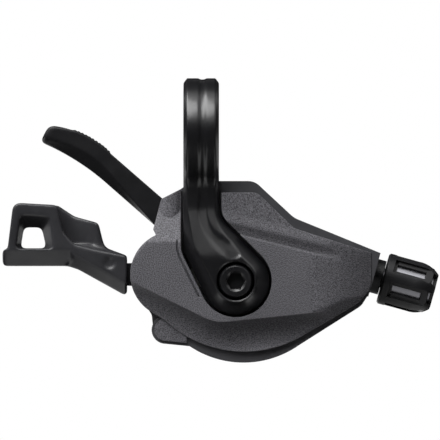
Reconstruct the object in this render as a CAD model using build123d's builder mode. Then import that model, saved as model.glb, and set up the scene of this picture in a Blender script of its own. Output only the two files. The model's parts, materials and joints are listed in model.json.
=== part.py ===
"""Trigger gear shifter for the right end of a flat handlebar, in millimetres.

The origin is the middle of the clamp bore. X runs along the bar towards the cable, Y runs away
from the front cover and Z runs up. Outlines are drawn as seen from the front, in X and Z.
"""
import os
from math import acos, atan2, cos, degrees, radians, sin, tan

from build123d import *

os.makedirs("parts", exist_ok=True)

# Driving dimensions: handlebar clamp
bar_radius = 11.1
band_thickness = 2.6
band_width = 8.9
band_groove_x = 0.3
band_groove_width = 2.2
band_groove_floor = 0.8
band_groove_depth = 0.3
tongue_thickness = 6.0
front_leg_thickness = 3.6
rear_leg_thickness = 3.5
eye_height = 6.5
eye_radius = 8.4
rear_eye_radius = 4.2
leg_bend_right = 21.0
leg_bend_left = 29.5
leg_bend_radius = 6.0
leg_flare_top = 18.5
leg_flare_bottom = 31.0
leg_flare_round = 8.0
leg_blend = 5.0
blend_bite = 0.03
strap_end = 17.5
eye_bevel_height = 4.1
eye_bevel_slope = 37.0
eye_rim_radius = 5.4
groove_end = 4.6
groove_spread = 3.0
bolt_x = 8.6
bolt_z = -37.0

# Driving dimensions: clamp bolt
bolt_radius = 2.5
bolt_head_radius = 4.15
bolt_head_height = 3.6
bolt_head_sink = 0.4
bolt_head_gap = 0.55
bolt_head_chamfer = 0.4
bolt_hole_gap = 0.25
hex_across_flats = 4.0
hex_depth = 2.4
hex_chamfer = 0.3

# Driving dimensions: axle and the stack of plates along it
axle_x = 0.0
axle_z = -35.5
axle_radius = 3.0
axle_flange_radius = 5.0
axle_flange_thickness = 0.6
run_gap = 0.1
shaft_gap = 0.05
seat_gap = 0.02
washer_radius = 6.0
washer_thickness = 0.4
release_plate_thickness = 1.5
index_thickness = 1.4
spool_thickness = 3.6
ratchet_thickness = 1.4
main_plate_thickness = 1.8
spring_chamber = 3.0
clip_thickness = 0.8
clip_radius = 5.0
clip_groove_depth = 0.6
clip_opening = 4.8
axle_end = 0.8
inner_gap = 0.6

# Driving dimensions: cable spool, wheels and pawls
cable_tilt = 15.4
cable_radius = 0.8
spool_radius = 11.3
spool_lip = 1.4
spool_lip_edge = 0.8
spool_web = 1.0
nipple_radius = 2.2
index_pitch = 18.0
index_steps = 11
wheel_radius = 12.0
tooth_depth = 1.4
pawl_pivot_radius = 14.6
pawl_reach = 40.0
pawl_inner_radius = 12.5
pawl_boss_radius = 2.0
pawl_pin_radius = 1.0
pawl_tip_angle = 5.0
pawl_back_share = 1.4
pawl_tip_gap = 0.15
pawl_lift = 9.5
drive_pawl_angle = 80.0
hold_pawl_angle = -62.0
pin_end = 0.4
pin_flange = 0.4

# Driving dimensions: springs
spring_gap = 0.25
coil_turns = 1.5
main_wire = 0.8
main_spring_leg = 6.0
release_wire = 0.6
release_spring_leg = 6.0
release_post_radius = 1.3
release_post_side = 5.6
release_post_drop = 2.1
release_tab_side = 10.2
pawl_wire = 0.35
pawl_spring_leg = 3.0
pawl_spring_length = 1.8
spring_recess_radius = 8.6
strip_thickness = 0.4
spiral_turns = 3

# Driving dimensions: main lever
lever_hub_radius = 7.2
lever_angle = 138.5
lever_root_x = -11.3
lever_root_z = -19.4
lever_inside = 15.5
lever_core = 13.0
main_arm_width = 3.8
paddle_back_depth = 27.0
paddle_skin = 1.2
paddle_bevel = 2.2
paddle_tip_round = 2.0
paddle_toe_round = 0.9
paddle_tip_x = -40.6
paddle_tip_z = -2.1
paddle_belly_x = -31.7
paddle_belly_z = -6.7
paddle_knee_x = -23.0
paddle_knee_z = -13.3
paddle_tip_inset = 0.7
paddle_bevel_width = 3.35
thumb_root_x = -23.0
thumb_root_z = -4.9
thumb_rise = 1.6
thumb_tip_inset = 2.2
thumb_tip_height = 4.2
paddle_root_top = 3.3
paddle_root_heel = 3.1
paddle_root_in = 2.3
flare_start = 8.0
flare_end = 20.0
rib_pitch = 1.0
rib_count = 11
rib_radius = 0.35
rib_margin = 0.4

# Driving dimensions: release lever
release_arm_width = 7.0
release_front_depth = -2.0
release_back_depth = 11.5
release_web = 5.0
release_inner_x = -18.6
pad_tip = -49.7
pad_top = -29.3
pad_bottom = -33.3
pad_facet_end = -32.3
scoop_radius = 8.0
scoop_x = -33.5
scoop_depth = -1.0
scoop_bottom = -28.0
pad_slant = 2.6
facet_width = 2.7
facet_depth = 3.0
dimple_x = -22.9
dimple_z = -32.5
dimple_radius = 1.4
dimple_depth = 0.5
facet_lead = 3.0
past_face = 1.0
plate_end_x = -33.0
plate_end_top = -30.0
plate_end_bottom = -31.4
plate_top_inset = 0.6
plate_bottom_inset = 0.9
plate_neck_top = 1.0
plate_neck_bottom = 3.0
arm_end_top = (release_inner_x, -30.7)
arm_end_bottom = (release_inner_x, -40.9)
arm_heel = (-30.7, -34.2)
lower_edge = [
    arm_end_top, arm_end_bottom, arm_heel, (-33.4, pad_bottom), (pad_tip, pad_bottom), (pad_tip, pad_top)
]
lower_rounds = [0.6, 0.6, 4.0, 6.0, 1.0, 0.8]
wing_edge = [(-37.4, pad_top), (-37.4, -18.1), (-36.0, -18.1), (-31.8, -20.9), (-25.8, -22.5), (-24.3, -28.6)]
wing_rounds = [0, 0, 0, 5.0, 1.3, 2.5]
frame_edge = [(-48.4, -28.9), (-47.0, -17.4), (-36.0, -18.0), (-34.5, -24.8), (-31.9, -27.7)]
frame_rounds = [0.5, 1.9, 1.2, 3.0, 3.0]
window_front = [(-46.4, -28.9), (-45.2, -20.3), (-37.7, -20.9), (-36.9, -28.9)]
window_back = [(-45.0, -28.8), (-44.2, -23.9), (-40.2, -23.9), (-39.0, -28.8)]
window_rounds = [0.8, 1.2, 1.2, 0.8]

# Driving dimensions: outline of the body, seen from the front
top_left_x = -3.6
top_right_x = 13.3
slope_x = 23.2
slope_z = -21.2
nose_x = 40.0
nose_z = -43.2
belly_right_x = 24.5
belly_right_z = -53.0
belly_x = 10.5
belly_z = -57.4
belly_left_x = -2.9
belly_left_z = -53.3
shoulder_left_x = -10.0
shoulder_left_z = -17.2
notch_x = -12.0
notch_z = -24.1
lobe_end_x = -13.4
lobe_end_z = -44.1
rim_start_x = -9.1
rim_start_z = -46.8
rear_left_x = -16.4
rear_left_top = -33.0
rear_left_bottom = -39.0
strip_top = 2.9
strip_slope = 2.6
strip_nose = 0.7
strip_corner = 1.8
base_rounds = [4.0, 6.0, 4.0]
cover_rounds = [1.0, 3.0, 5.0, 4.0]

# Driving dimensions: base bracket and rear cover
base_front = -1.0
body_top = 12.0
lobe_radius = 10.6
lobe_x = -7.1
lobe_z = -35.6
screw_places = [(13.0, -18.5), (24.5, -46.0), (-8.9, -49.2)]
base_inset = 0.7
rear_inset = 0.5
wall = 1.6
slot_gap = 0.4
screw_radius = 1.25
screw_head_radius = 2.3
screw_head_height = 1.4
screw_grip = 3.0
screw_bump_radius = 3.5
screw_bump_height = 0.7
post_radius = 2.5
lever_slot_bottom = -45.5
rear_end_below = 16.0
rear_corner = 1.8
rear_edge = 1.4

# Driving dimensions: front cover
cover_face = 7.0
cover_rim = 2.2
cover_inset = 0.3
bend_start = 26.0
bend_radius = 26.0
cove_corners = [(-23.3, -40.9), (2.4, -53.5), (47.8, -48.8)]
cove_radius = 6.0
cove_bend = 16.0
crease_tilt = 14.0
crease_x = 9.2
crease_z = -25.25
crease_step = 1.1
crease_groove = 0.5
crease_edge = 0.35
crease_crest = 0.35
crease_rise = 2.3
crease_fall = 5.5
bevel_x = 28.4
bevel_z = -45.75
bevel_turn = 43.8
bevel_slope = 42.0
bevel_round = 6.0
shoulder_face = 2.2
shoulder_top = -19.2
shoulder_bottom = -27.2
shoulder_boss_x = -7.9
shoulder_boss_z = -22.5
shoulder_boss_radius = 3.4
lip_gap = 0.6
lip_width = 0.7
lip_line = 0.45
lip_depth = 0.4
lip_top = -25.5
lip_bottom = -41.0
pocket_depth = 2.4
pocket_left = 20.0
pocket_middle = 26.0
pocket_right = 36.0
pocket_top = -26.0
pocket_nose_top = -31.5
pocket_nose_bottom = -38.5
pocket_bottom = -43.5
pocket_radius = 5.4

# Driving dimensions: adjuster, measured along the cable from the spool
boss_start = 30.5
boss_length = 11.25
boss_above = 5.9
boss_below = 4.3
boss_wall = 1.1
nut_radius = 3.6
nut_length = 6.0
thread_radius = 2.5
bolt_tail = 12.3
casing_radius = 2.6
casing_depth = 8.0
cable_hole_gap = 0.2
collar_radius = 4.35
collar_length = 5.7
socket_depth = 4.85
collar_show = 2.45
knob_length = 13.3
knob_radius = 6.5
knob_straight = 7.8
knob_barrel = 0.65
knob_end_radius = 4.55
knob_edge = 0.4
knob_wall = 0.9
knob_bolt_radius = 4.9
bolt_end_radius = 3.9
bolt_end_length = 3.2
knob_ribs = 6
knob_phase = -8.0
knob_ring = 2.0
knob_slot_width = 0.8
knob_slot_depth = 1.4
knob_valley_depth = 1.0
knob_valley_width = 4.1
knob_window_width = 2.1
knob_window_length = 7.4
knob_tooth_length = 1.3
knob_tooth_gap = 3.3

# Lengths that only have to reach past the piece they cut
past_cover = 60.0
past_side = 20.0

# Places worked out from the driving dimensions
band_outer = bar_radius + band_thickness
half_band = band_width / 2
base_back = tongue_thickness / 2
leg_front = base_back + eye_height
leg_back = base_back + rear_leg_thickness
flange_front = leg_back + run_gap
flange_back = flange_front + axle_flange_thickness
release_plate_front = flange_back + run_gap
release_plate_back = release_plate_front + release_plate_thickness
index_front = release_plate_back + washer_thickness + 2 * run_gap
index_back = index_front + index_thickness
spool_back = index_back + spool_thickness
ratchet_back = spool_back + ratchet_thickness
main_plate_front = ratchet_back + washer_thickness + 2 * run_gap
main_plate_back = main_plate_front + main_plate_thickness
spring_front = main_plate_back + washer_thickness + 2 * run_gap
clip_front = spring_front + spring_chamber
clip_back = clip_front + clip_thickness
axle_back = clip_back + axle_end
rear_inner = axle_back + inner_gap
rear_outer = rear_inner + wall
cable_depth = index_back + spool_thickness / 2
paddle_front = main_plate_front - paddle_skin
paddle_root_back = main_plate_back + paddle_skin
hold_flange_front = index_front - run_gap - pin_flange
head_seat = leg_front - bolt_head_sink - bolt_head_height
axle = (axle_x, axle_z)
cable_along = (cos(radians(cable_tilt)), -sin(radians(cable_tilt)))
cable_across = (sin(radians(cable_tilt)), cos(radians(cable_tilt)))
cable_touch = (axle_x + spool_radius * cable_across[0], axle_z + spool_radius * cable_across[1])
lever_slot_back = paddle_root_back + run_gap
boss_end = boss_start + boss_length
knob_start = boss_end + collar_show
cover_top = body_top + strip_top
release_post = (axle_x - release_post_side, axle_z - release_post_drop)
release_tab = (axle_x - release_tab_side, axle_z - release_post_drop)


def at_depth(depth):
    """Plane across the shifter at this depth. It faces the front, so extrude goes forward."""
    return Plane.XZ.offset(-depth)


def round_axle(radius, angle):
    """Point at this radius and angle about the main axle, as seen from the front."""
    return (axle_x + radius * cos(radians(angle)), axle_z + radius * sin(radians(angle)))


def turned(point, centre, angle):
    """Point turned about a centre, counter-clockwise as seen from the front."""
    x, z = point[0] - centre[0], point[1] - centre[1]
    c, s = cos(radians(angle)), sin(radians(angle))
    return (centre[0] + x * c - z * s, centre[1] + x * s + z * c)


def on_cable(along, above):
    """Point by its distance along the cable line from the spool and its height above the line."""
    return (
        cable_touch[0] + along * cable_along[0] + above * cable_across[0],
        cable_touch[1] + along * cable_along[1] + above * cable_across[1],
    )


def cable_plane(along):
    """Plane square to the cable line, facing out of the shifter, with its x towards the front."""
    x, z = on_cable(along, 0)
    return Plane(
        origin=(x, cable_depth, z),
        x_dir=(0, -1, 0),
        z_dir=(cable_along[0], 0, cable_along[1]),
    )


def rounded(points, radii):
    """Closed outline through these corners, each rounded by its own radius, or sharp where that is 0."""
    with BuildSketch() as outline:
        with BuildLine():
            Polyline(*points, close=True)
        make_face()
        for point, radius in zip(points, radii):
            if radius:
                fillet(outline.vertices().sort_by_distance((*point, 0))[0], radius)
    return outline.sketch


hold_pin = round_axle(pawl_pivot_radius, hold_pawl_angle)

# Outlines that several pieces share
eye_right = (bolt_x + eye_radius * cos(radians(45)), bolt_z + eye_radius * sin(radians(45)))
eye_left = (bolt_x + eye_radius * cos(radians(207)), bolt_z + eye_radius * sin(radians(207)))
with BuildSketch() as front_leg_plan:
    with BuildLine():
        Polyline(
            (-half_band, band_outer),
            (half_band, band_outer),
            (half_band, -leg_bend_right),
            eye_right,
            (bolt_x, bolt_z),
            eye_left,
            (-half_band, -leg_bend_left),
            close=True,
        )
    make_face()
    bends = front_leg_plan.vertices().filter_by(lambda v: abs(abs(v.X) - half_band) < 1e-6 and v.Y < 0)
    fillet(bends, leg_bend_radius)
    with Locations((bolt_x, bolt_z)):
        Circle(eye_radius)

rear_eye_left = (bolt_x - rear_eye_radius, bolt_z)
rear_eye_right = (bolt_x + rear_eye_radius * cos(radians(30)), bolt_z + rear_eye_radius * sin(radians(30)))
with BuildSketch() as rear_leg_plan:
    with BuildLine():
        Polyline(
            (-half_band, band_outer),
            (half_band, band_outer),
            (half_band, -body_top - wall),
            rear_eye_right,
            (bolt_x, bolt_z),
            rear_eye_left,
            (-half_band / 3, -body_top - 2 * wall),
            (-half_band, -body_top),
            close=True,
        )
    make_face()
    with Locations((bolt_x, bolt_z)):
        Circle(rear_eye_radius)

with BuildSketch() as bump_plan:
    bump_x, bump_z = screw_places[2]
    with Locations((bump_x, bump_z)):
        Circle(screw_bump_radius)
    with BuildLine():
        Polyline(
            (bump_x, bump_z - screw_bump_radius),
            (belly_left_x, belly_left_z),
            (belly_left_x, lever_slot_bottom),
            (bump_x, lever_slot_bottom),
            close=True,
        )
    make_face()

end_top = on_cable(boss_end, boss_above)
end_bottom = on_cable(boss_end, -boss_below)
with BuildSketch() as base_plan:
    with BuildLine():
        Polyline(
            (belly_left_x, belly_left_z),
            (rim_start_x, lever_slot_bottom),
            (shoulder_left_x, shoulder_left_z),
            (top_left_x, -body_top - wall),
            (top_left_x, -body_top),
            (top_right_x, -body_top),
            (slope_x, slope_z),
            end_top,
            end_bottom,
            (nose_x, nose_z),
            (belly_right_x, belly_right_z),
        )
        ThreePointArc((belly_right_x, belly_right_z), (belly_x, belly_z), (belly_left_x, belly_left_z))
    make_face()
    base_corners = [(top_right_x, -body_top), (slope_x, slope_z), (nose_x, nose_z)]
    for corner, radius in zip(base_corners, base_rounds):
        fillet(base_plan.vertices().sort_by_distance((*corner, 0))[0], radius)
    with Locations((lobe_x, lobe_z)):
        Circle(lobe_radius - base_inset)
    add(bump_plan.sketch)

cover_end_top = on_cable(boss_end - cover_inset, boss_above - 2 * cover_inset)
cover_end_bottom = on_cable(boss_end - cover_inset, -boss_below + cover_inset)
cover_left_x = top_left_x - base_inset
cover_notch = (notch_x + base_inset, notch_z - 2 * base_inset)
cover_shoulder = (shoulder_left_x, shoulder_left_z + base_inset)
cover_top_corner = (top_right_x + base_inset, -cover_top)
cover_slope = (slope_x, slope_z - strip_slope)
cover_nose = (nose_x - strip_nose, nose_z + strip_nose)
cover_belly = (belly_right_x, belly_right_z + strip_corner)
with BuildSketch() as cover_plan:
    with BuildLine():
        Line((rim_start_x, rim_start_z), (lobe_end_x, lobe_end_z))
        ThreePointArc(
            (lobe_end_x, lobe_end_z), (lobe_x - lobe_radius, lobe_z), cover_notch
        )
        Polyline(
            cover_notch,
            (notch_x, notch_z),
            cover_shoulder,
            (cover_left_x, -body_top - wall),
            (cover_left_x, -cover_top),
            cover_top_corner,
            cover_slope,
            cover_end_top,
            cover_end_bottom,
            cover_nose,
            cover_belly,
        )
        ThreePointArc(cover_belly, (belly_x - strip_top, belly_z + strip_top), (rim_start_x, rim_start_z))
    make_face()
    cover_corners = [cover_shoulder, cover_top_corner, cover_slope, cover_nose]
    for corner, radius in zip(cover_corners, cover_rounds):
        fillet(cover_plan.vertices().sort_by_distance((*corner, 0))[0], radius)

# Clamp band: turned ring, opened for the tongue, with a leg on each side of it
# The front leg starts as the ring's own section, which a hollow leads from the ring to the leg's face
leg_face = base_back + front_leg_thickness
edge_drop = leg_face - (leg_front - eye_bevel_height)
edge_run = edge_drop * tan(radians(eye_bevel_slope))
groove_left = band_groove_x - band_groove_width / 2
groove_right = band_groove_x + band_groove_width / 2
blend_turn = acos((leg_face + leg_blend) / (band_outer + leg_blend - blend_bite))
blend_low = -(band_outer + leg_blend - blend_bite) * sin(blend_turn)
blend_axis = Axis((0, -leg_face - leg_blend, blend_low), (1, 0, 0))
strap_plane = Plane(origin=(0, -leg_face, blend_low), x_dir=(1, 0, 0), z_dir=(0, 0, -1))


def band_section(face, thickness):
    """Section across the band: grooved face at the given height, edges sloped as round the eye."""
    with BuildSketch() as section:
        with BuildLine():
            Polyline(
                (-half_band, face - thickness),
                (half_band, face - thickness),
                (half_band, face - edge_drop),
                (half_band - edge_run, face),
                (groove_right, face),
                (band_groove_x + band_groove_floor / 2, face - band_groove_depth),
                (band_groove_x - band_groove_floor / 2, face - band_groove_depth),
                (groove_left, face),
                (-half_band + edge_run, face),
                (-half_band, face - edge_drop),
                close=True,
            )
        make_face()
    return section.sketch


with BuildPart() as leg_strap:
    with BuildSketch(strap_plane):
        add(band_section(0, front_leg_thickness))
    extrude(amount=strap_end + blend_low)
    with BuildSketch(strap_plane):
        add(band_section(0, front_leg_thickness))
    revolve(axis=blend_axis, revolution_arc=degrees(blend_turn))
    with BuildSketch(Plane.YZ):
        Circle((bar_radius + band_outer) / 2)
    extrude(amount=band_width, both=True, mode=Mode.SUBTRACT)

with BuildPart() as front_leg:
    with BuildSketch(at_depth(0)):
        add(front_leg_plan.sketch)
    extrude(amount=leg_front - eye_bevel_height)
    with BuildSketch(at_depth(eye_bevel_height - leg_front)):
        add(front_leg_plan.sketch)
    extrude(amount=eye_bevel_height, taper=eye_bevel_slope)
    leg_side = [
        (-base_back, -strap_end),
        (-leg_face, -strap_end),
        (-leg_face, -leg_flare_top),
        (-leg_front, -leg_flare_bottom),
        (-leg_front, bolt_z - 2 * eye_radius),
        (-base_back, bolt_z - 2 * eye_radius),
    ]
    with BuildSketch(Plane.YZ):
        add(rounded(leg_side, [0, 0, leg_flare_round, leg_flare_round, 0, 0]))
    extrude(amount=8 * half_band, both=True, mode=Mode.INTERSECT)

# Groove of the front leg: it leaves the band's groove, widens to the right and ends at the eye's rim
with BuildPart() as leg_groove:
    groove_side = [
        (-leg_face + band_groove_depth, -strap_end),
        (-leg_face + band_groove_depth, -leg_flare_top),
        (-leg_front + band_groove_depth, -leg_flare_bottom),
        (-leg_front + band_groove_depth, bolt_z),
        (-leg_front - eye_bevel_height, bolt_z),
        (-leg_front - eye_bevel_height, -strap_end),
    ]
    with BuildSketch(Plane.YZ):
        add(rounded(groove_side, [0, leg_flare_round, leg_flare_round, 0, 0, 0]))
    extrude(amount=8 * half_band, both=True)
    with BuildSketch(at_depth(0)):
        with BuildLine():
            left_side = Spline(
                (groove_left, -leg_flare_top),
                (bolt_x / 3, (bolt_z - leg_flare_top) / 2),
                (bolt_x - groove_spread / 3, bolt_z + groove_end),
                tangents=[(0, -1), (1, -1)],
            )
            right_side = Spline(
                (groove_right, -leg_flare_top),
                (bolt_x / 2, (bolt_z + groove_end - leg_flare_top) / 2),
                (bolt_x + groove_spread, bolt_z + groove_end + groove_spread),
                tangents=[(0, -1), (1, -1)],
            )
            Line(left_side @ 1, right_side @ 1)
            Polyline(
                left_side @ 0, (groove_left, -strap_end), (groove_right, -strap_end), right_side @ 0
            )
        make_face()
        with Locations((bolt_x, bolt_z)):
            Circle(eye_rim_radius, mode=Mode.SUBTRACT)
    extrude(amount=2 * band_outer, mode=Mode.INTERSECT)

with BuildPart() as clamp_band:
    with BuildSketch(Plane.XZ):
        add(band_section(band_outer, band_thickness))
    revolve(axis=Axis.X)
    with BuildSketch(Plane.YZ):
        Rectangle(tongue_thickness, 2 * band_outer, align=(Align.CENTER, Align.MAX))
    extrude(amount=band_width, both=True, mode=Mode.SUBTRACT)
    add(leg_strap.part)
    add(front_leg.part)
    add(leg_groove.part, mode=Mode.SUBTRACT)
    with BuildSketch(at_depth(leg_back)):
        add(rear_leg_plan.sketch)
        with Locations((0, -bar_radius)):
            Rectangle(
                8 * half_band, 4 * bar_radius, align=(Align.CENTER, Align.MIN), mode=Mode.SUBTRACT
            )
    extrude(amount=rear_leg_thickness)
    with BuildSketch(at_depth(leg_back)):
        with Locations((bolt_x, bolt_z)):
            Circle(bolt_radius + shaft_gap)
    extrude(amount=leg_back + leg_front, mode=Mode.SUBTRACT)
    with BuildSketch(at_depth(-head_seat)):
        with Locations((bolt_x, bolt_z)):
            Circle(bolt_head_radius + bolt_head_gap)
    extrude(amount=leg_front, mode=Mode.SUBTRACT)

# Clamp bolt: socket head, threaded into the rear eye
with BuildPart() as clamp_bolt:
    with BuildSketch(at_depth(leg_back)):
        with Locations((bolt_x, bolt_z)):
            Circle(bolt_radius)
    extrude(amount=leg_back + head_seat)
    with BuildSketch(at_depth(-head_seat)):
        with Locations((bolt_x, bolt_z)):
            Circle(bolt_head_radius)
    extrude(amount=bolt_head_height)
    head_top = clamp_bolt.faces().sort_by(Axis.Y)[0]
    chamfer(head_top.edges(), bolt_head_chamfer)
    with BuildSketch(at_depth(-head_seat - bolt_head_height + hex_depth)):
        with Locations((bolt_x, bolt_z)):
            RegularPolygon(hex_across_flats / 2, 6, major_radius=False)
    extrude(amount=hex_depth, mode=Mode.SUBTRACT)
    hex_mouth = clamp_bolt.faces().sort_by(Axis.Y)[0].inner_wires()[0].edges()
    chamfer(hex_mouth, hex_chamfer)

# Front cover: outline met by a front that bends away, then the cove, the crease and the shoulder
crease_along = (cos(radians(crease_tilt)), 0, -sin(radians(crease_tilt)))
crease_across = (sin(radians(crease_tilt)), 0, cos(radians(crease_tilt)))
bevel_along = (cos(radians(bevel_turn)), 0, sin(radians(bevel_turn)))
bevel_across = (sin(radians(bevel_turn)), 0, -cos(radians(bevel_turn)))
bevel_run = bevel_round * tan(radians(bevel_slope / 2))
with BuildPart() as shoulder_boss:
    with Locations((shoulder_boss_x, 0, shoulder_boss_z)):
        Cylinder(shoulder_boss_radius, body_top, align=(Align.CENTER, Align.CENTER, Align.MIN))
    with BuildSketch(at_depth(base_front)):
        add(cover_plan.sketch)
    extrude(amount=2 * cover_face, mode=Mode.INTERSECT)

with BuildPart() as front_cover:
    with BuildSketch(at_depth(base_front)):
        add(cover_plan.sketch)
    extrude(amount=cover_face + base_front)
    with BuildSketch(Plane.XY):
        with Locations((bend_start, 0)):
            Rectangle(4 * bend_radius, 2 * cover_face, align=(Align.MAX, Align.CENTER))
        with Locations((bend_start, bend_radius - cover_face)):
            Circle(bend_radius)
    extrude(amount=-4 * bend_radius, mode=Mode.INTERSECT)
    with BuildLine(at_depth(-cover_rim - cove_radius)) as cove_path:
        FilletPolyline(*cove_corners, radius=cove_bend)
    cove_wire = cove_path.wire()
    with BuildSketch(Plane(origin=cove_wire @ 0, z_dir=cove_wire % 0)):
        Circle(cove_radius)
    sweep(path=cove_wire, mode=Mode.SUBTRACT)
    crease_origin = Vector(crease_x, -cover_face, crease_z) - 2 * half_band * Vector(*crease_along)
    with BuildSketch(Plane(origin=crease_origin, x_dir=crease_across, z_dir=crease_along)):
        with BuildLine():
            valley = Spline(
                (0, -crease_step - crease_groove),
                (crease_rise, -crease_step + crease_crest),
                (crease_fall, -crease_step),
                tangents=[(1, 0), (1, 0)],
            )
            Polyline(
                valley @ 1,
                (cover_top, -crease_step),
                (cover_top, cover_face),
                (-crease_edge, cover_face),
                (-crease_edge, 0),
                (0, -crease_edge),
                valley @ 0,
            )
        make_face()
    extrude(amount=past_cover, mode=Mode.SUBTRACT)
    with BuildSketch(Plane.YZ.offset(-half_band)):
        with BuildLine():
            Polyline(
                (-cover_face, shoulder_bottom),
                (-shoulder_face, shoulder_top),
                (-shoulder_face, 0),
                (-2 * cover_face, 0),
                (-2 * cover_face, shoulder_bottom),
                close=True,
            )
        make_face()
    extrude(amount=-past_side, mode=Mode.SUBTRACT)
    bevel_origin = Vector(bevel_x, -cover_face, bevel_z) - past_cover / 2 * Vector(*bevel_along)
    with BuildSketch(Plane(origin=bevel_origin, x_dir=bevel_across, z_dir=bevel_along)):
        with BuildLine():
            soft_edge = TangentArc(
                (-bevel_run, 0),
                (bevel_run * cos(radians(bevel_slope)), bevel_run * sin(radians(bevel_slope))),
                tangent=(1, 0),
            )
            Polyline(
                soft_edge @ 1,
                (past_side, past_side * tan(radians(bevel_slope))),
                (past_side, -cover_face),
                (-bevel_run, -cover_face),
                soft_edge @ 0,
            )
        make_face()
    extrude(amount=past_cover, mode=Mode.SUBTRACT)
    add(shoulder_boss.part)
    with BuildSketch(at_depth(base_front)):
        add(bump_plan.sketch)
        offset(amount=-base_inset)
    extrude(amount=screw_bump_height)
    with BuildSketch(at_depth(base_front)):
        add(front_leg_plan.sketch)
        offset(amount=lip_gap)
    extrude(amount=2 * cover_face, mode=Mode.SUBTRACT)
    with BuildSketch(at_depth(lip_depth - cover_face)):
        add(front_leg_plan.sketch)
        offset(amount=lip_gap + lip_width + lip_line)
        offset(front_leg_plan.sketch, amount=lip_gap + lip_width, mode=Mode.SUBTRACT)
        with Locations((bolt_x / 2, lip_top)):
            Rectangle(past_side, lip_top - lip_bottom, align=Align.MAX, mode=Mode.INTERSECT)
    extrude(amount=cover_face, mode=Mode.SUBTRACT)
    with BuildSketch(at_depth(base_front)):
        with Locations((lobe_x - wall, lobe_z + wall)):
            Circle(pocket_radius)
        with BuildLine():
            Polyline(
                (pocket_left, pocket_top),
                (pocket_right, pocket_nose_top),
                (pocket_right, pocket_nose_bottom),
                (pocket_middle, pocket_bottom),
                (pocket_left, pocket_bottom),
                close=True,
            )
        make_face()
    extrude(amount=pocket_depth, mode=Mode.SUBTRACT)

# Base bracket: plate, tongue between the clamp legs, and the block that carries the adjuster
with BuildPart() as base_bracket:
    with BuildSketch(at_depth(base_back)):
        add(base_plan.sketch)
    extrude(amount=base_back - base_front)
    with BuildSketch(at_depth(base_back)):
        add(front_leg_plan.sketch)
        with Locations((0, -body_top)):
            Rectangle(8 * half_band, 8 * half_band, align=(Align.CENTER, Align.MIN), mode=Mode.SUBTRACT)
    extrude(amount=tongue_thickness)
    with BuildSketch(cable_plane(boss_end)):
        Circle(collar_radius + boss_wall)
        Rectangle(
            cable_depth - base_back, 2 * (collar_radius + boss_wall), align=(Align.MIN, Align.CENTER)
        )
    extrude(amount=boss_start - boss_end)
    with BuildSketch(cable_plane(boss_end)):
        Circle(collar_radius + shaft_gap)
    extrude(amount=-socket_depth, mode=Mode.SUBTRACT)
    with BuildSketch(cable_plane(boss_end)):
        Circle(nut_radius + seat_gap)
    extrude(amount=-socket_depth - nut_length, mode=Mode.SUBTRACT)
    with BuildSketch(cable_plane(boss_end)):
        Circle(thread_radius)
    extrude(amount=-2 * boss_end + 2 * boss_start, mode=Mode.SUBTRACT)
    with BuildSketch(at_depth(base_back)):
        with Locations((bolt_x, bolt_z)):
            Circle(bolt_radius + bolt_hole_gap)
        with Locations(axle):
            Circle(axle_radius + seat_gap)
        with Locations(hold_pin):
            Circle(pawl_pin_radius + seat_gap)
    extrude(amount=tongue_thickness, mode=Mode.SUBTRACT)
    with BuildSketch(at_depth(base_back)):
        with Locations(*screw_places):
            Circle(screw_radius + seat_gap)
    extrude(amount=screw_grip, mode=Mode.SUBTRACT)
    with BuildSketch(at_depth(flange_front)):
        with Locations(release_post):
            Circle(release_post_radius)
    extrude(amount=flange_front - base_back)

# Rear cover: shell over the mechanism, open on the lever side, with three screw posts
rear_belly_right = (belly_right_x, belly_right_z + rear_inset)
rear_belly_left = (belly_left_x, belly_left_z + rear_inset)
with BuildSketch() as rear_plan:
    with BuildLine():
        Polyline(
            rear_belly_left,
            (bump_x - screw_bump_radius + base_inset, bump_z - screw_bump_radius + rear_inset),
            (bump_x - screw_bump_radius, lever_slot_bottom),
            (rear_left_x, rear_left_bottom),
            (rear_left_x, rear_left_top),
            (cover_notch[0] + rear_inset, cover_notch[1]),
            (shoulder_left_x + rear_inset, shoulder_left_z),
            (top_left_x + rear_inset, -body_top - rear_inset),
            (top_right_x, -body_top - rear_inset),
            (slope_x, slope_z - rear_inset),
            on_cable(boss_start - rear_inset, boss_above),
            on_cable(boss_start - rear_inset, -rear_end_below),
            rear_belly_right,
        )
        ThreePointArc(rear_belly_right, (belly_x, belly_z + rear_inset), rear_belly_left)
    make_face()
    off_belly = rear_plan.vertices().sort_by_distance((*rear_belly_right, 0))[1:]
    off_belly = off_belly.sort_by_distance((*rear_belly_left, 0))[1:]
    fillet(off_belly, rear_corner)
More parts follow.
